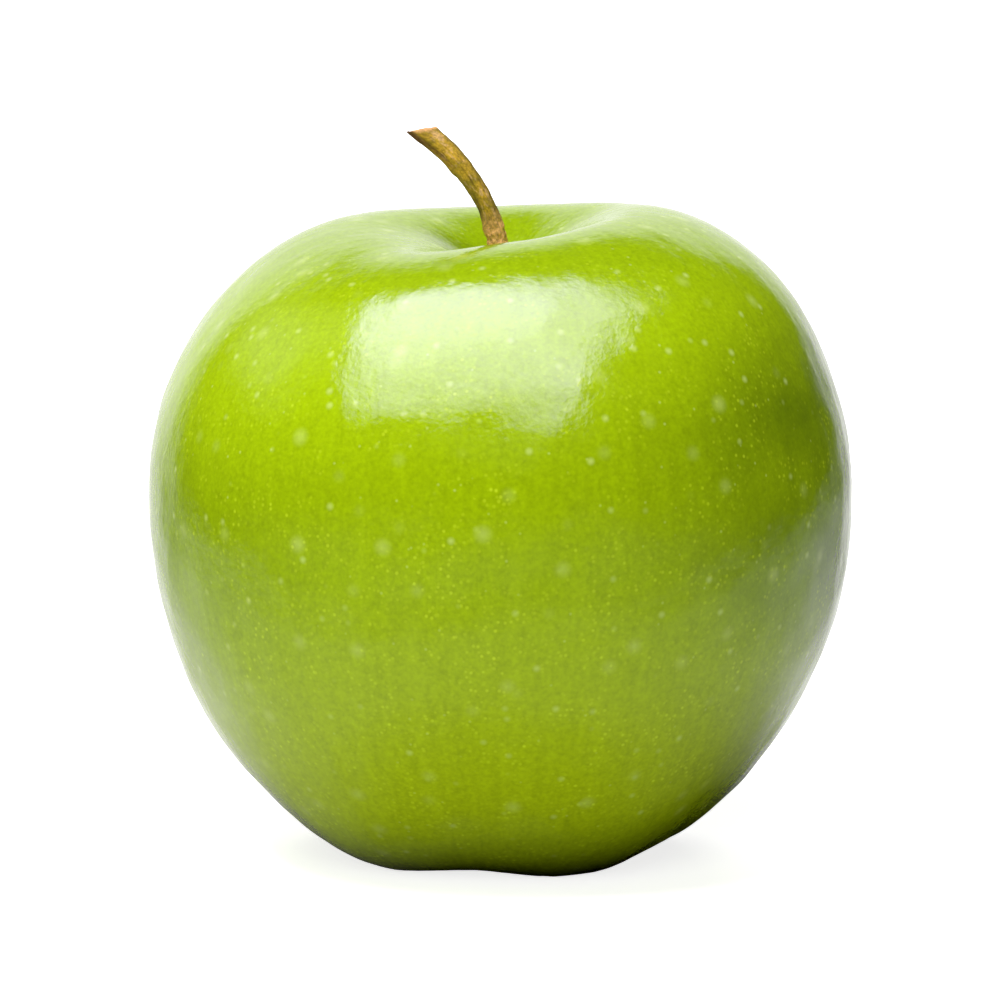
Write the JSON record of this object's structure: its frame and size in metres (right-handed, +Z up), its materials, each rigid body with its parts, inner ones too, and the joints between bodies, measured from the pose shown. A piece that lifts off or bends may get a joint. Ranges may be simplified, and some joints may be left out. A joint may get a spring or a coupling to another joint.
{
  "type": "green apple",
  "caption": "Whole green apple standing upright: a waxy lobed fruit with its woody stem in the top cavity and a dry calyx with stamens in the basin below.",
  "frame": {"origin": "on the surface that the apple stands on, under the middle of the fruit", "axes": "+Z up along the core, from the calyx to the stem; -Y is the side that the picture shows; the stem leans towards -X"},
  "size_m": [0.0802, 0.0798, 0.0828],
  "materials": {
    "skin": "satin",
    "stem_wood": "matte",
    "dry_sepal": "matte",
    "dry_stamen": "matte"
  },
  "bodies": {
    "root": {"fruit": "skin", "stem": "stem_wood", "calyx": "dry_sepal", "stamens": "dry_stamen"}
  },
  "joints": []
}
